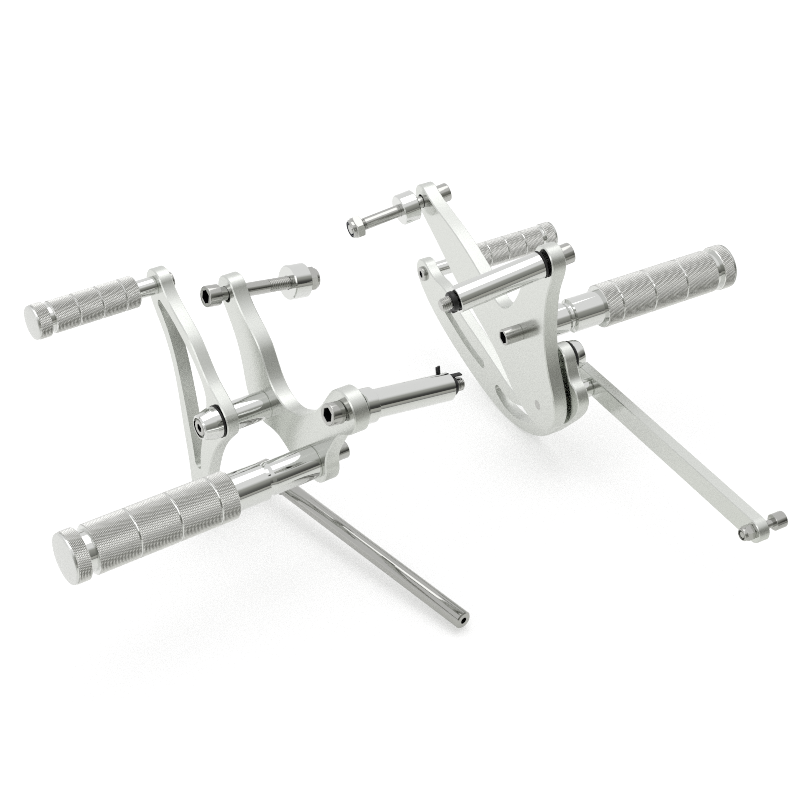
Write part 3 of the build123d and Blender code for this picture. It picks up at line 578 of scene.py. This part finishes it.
# White paper on a light table. For reflections only, the floor behind the camera is painted darker, with a dark
# band across it: painted reflections of a dark room in the polished metal
paper = bpy.data.materials.new("paper_white_matt")
paper.use_nodes = True
tree = paper.node_tree
place = add(tree, "ShaderNodeNewGeometry")
split = add(tree, "ShaderNodeSeparateXYZ", {0: place.outputs["Position"]})
seen = add(tree, "ShaderNodeLightPath")
span = add(
    tree, "ShaderNodeMapRange",
    {"Value": split.outputs["X"], "From Min": -0.05, "From Max": -0.95},
)
painted_reflection_ramp = add(tree, "ShaderNodeValToRGB", {"Fac": span.outputs["Result"]})
stops = painted_reflection_ramp.color_ramp.elements
stops[0].position, stops[0].color = 0.03, linear("dededd")
stops[1].position, stops[1].color = 1.0, linear("9b9b94")
for position, tone in ((0.28, "cecfcb"), (0.44, "bebfbb"), (0.47, "454545"), (0.53, "82827f")):
    stops.new(position).color = linear(tone)
# Camera rays see the floor plain white; glossy rays see the painted reflection tones
tint = add(
    tree, "ShaderNodeMix",
    {0: seen.outputs["Is Glossy Ray"], 6: linear("e8e8e8"), 7: painted_reflection_ramp.outputs["Color"]}, data_type="RGBA",
)
surface = tree.nodes["Principled BSDF"]
surface.inputs["Roughness"].default_value = 0.9
# Some light comes through the paper, as from a light table, so the shadows stay faint
surface.inputs["Emission Strength"].default_value = 0.4
# Colour and glow both take these tones, so the painted reflection tones also glow for glossy rays
for socket in ("Base Color", "Emission Color"):
    tree.links.new(tint.outputs[2], surface.inputs[socket])
floor.data.materials.append(paper)

# Camera at the photograph's place and angle
camera_place = Vector((-0.8873, 0.4906, 0.5401))
forward = Vector((0.6865, -0.4981, -0.530)).normalized()
right = Vector((-0.5874, -0.8095, 0.0)).normalized()
upward = right.cross(forward)
lens = bpy.data.cameras.new("camera")
lens.lens = 72
lens.sensor_width = 36
lens.clip_end = 50
lens.dof.use_dof = False
camera = bpy.data.objects.new("camera", lens)
camera.matrix_world = placed(right, upward, -forward, camera_place)
scene.collection.objects.link(camera)
scene.camera = camera


def softbox(name, place, target, size, power):
    """Square area light that points at a target."""
    light = bpy.data.lights.new(name, "AREA")
    light.size = size
    light.energy = power
    made = bpy.data.objects.new(name, light)
    made.location = place
    made.rotation_euler = (Vector(target) - Vector(place)).to_track_quat("-Z", "Y").to_euler()
    scene.collection.objects.link(made)


# One large light above for the soft shadows, and a weak one from the rider's left
middle = (-0.1, -0.1, -0.1)
softbox("overhead", (0.1, -0.2, 1.6), middle, 1.4, 7)
softbox("side", (-0.6, 1.5, 0.9), middle, 0.9, 2)

# The room as the metal sees it. The camera sees it white
world = bpy.data.worlds.new("studio")
scene.world = world
world.use_nodes = True
sky = world.node_tree
sky.nodes.clear()
place = add(sky, "ShaderNodeTexCoord")
# The dark part of the room lies towards -X near eye level
split = add(sky, "ShaderNodeSeparateXYZ", {0: place.outputs["Generated"]})
side_dark = add(
    sky, "ShaderNodeMapRange",
    {"Value": split.outputs["X"], "From Min": -0.2, "From Max": -0.6}, interpolation_type="SMOOTHSTEP",
)
level = add(sky, "ShaderNodeValToRGB", {"Fac": split.outputs["Z"]})
stops = level.color_ramp.elements
stops[0].position, stops[0].color = 0.0, linear("666663")
stops[1].position, stops[1].color = 0.68, linear("ffffff")
for position, tone in ((0.06, "83847f"), (0.3, "9c9d97"), (0.52, "b0b1ab")):
    stops.new(position).color = linear(tone)
# The room's low corner towards -Y is darker still
far_dark = add(
    sky, "ShaderNodeMapRange",
    {"Value": split.outputs["Y"], "From Min": -0.3, "From Max": -0.48}, interpolation_type="SMOOTHSTEP",
)
low = add(
    sky, "ShaderNodeMapRange",
    {"Value": split.outputs["Z"], "From Min": 0.5, "From Max": 0.1}, interpolation_type="SMOOTHSTEP",
)
corner = add(
    sky, "ShaderNodeMath", {0: far_dark.outputs["Result"], 1: low.outputs["Result"]}, operation="MULTIPLY",
)
level = add(
    sky, "ShaderNodeMix",
    {0: corner.outputs["Value"], 6: level.outputs["Color"], 7: linear("474745")}, data_type="RGBA",
)
shade = add(
    sky, "ShaderNodeMix",
    {0: side_dark.outputs["Result"], 6: linear("ffffff"), 7: level.outputs[2]}, data_type="RGBA",
)
seen = add(sky, "ShaderNodeLightPath")
room = add(sky, "ShaderNodeBackground", {"Color": shade.outputs[2], "Strength": 0.88})
white = add(sky, "ShaderNodeBackground", {"Color": linear("ffffff"), "Strength": 1.0})
both = add(
    sky, "ShaderNodeMixShader",
    {0: seen.outputs["Is Camera Ray"], 1: room.outputs["Background"], 2: white.outputs["Background"]},
)
add(sky, "ShaderNodeOutputWorld", {"Surface": both.outputs["Shader"]})

scene.view_settings.view_transform = "Standard"
# Light goes several times to and fro between polished faces, and fine knurls and threads stay sharp
scene.cycles.max_bounces = 16
scene.cycles.glossy_bounces = 12
scene.cycles.use_denoising = False
scene.cycles.filter_width = 1.0
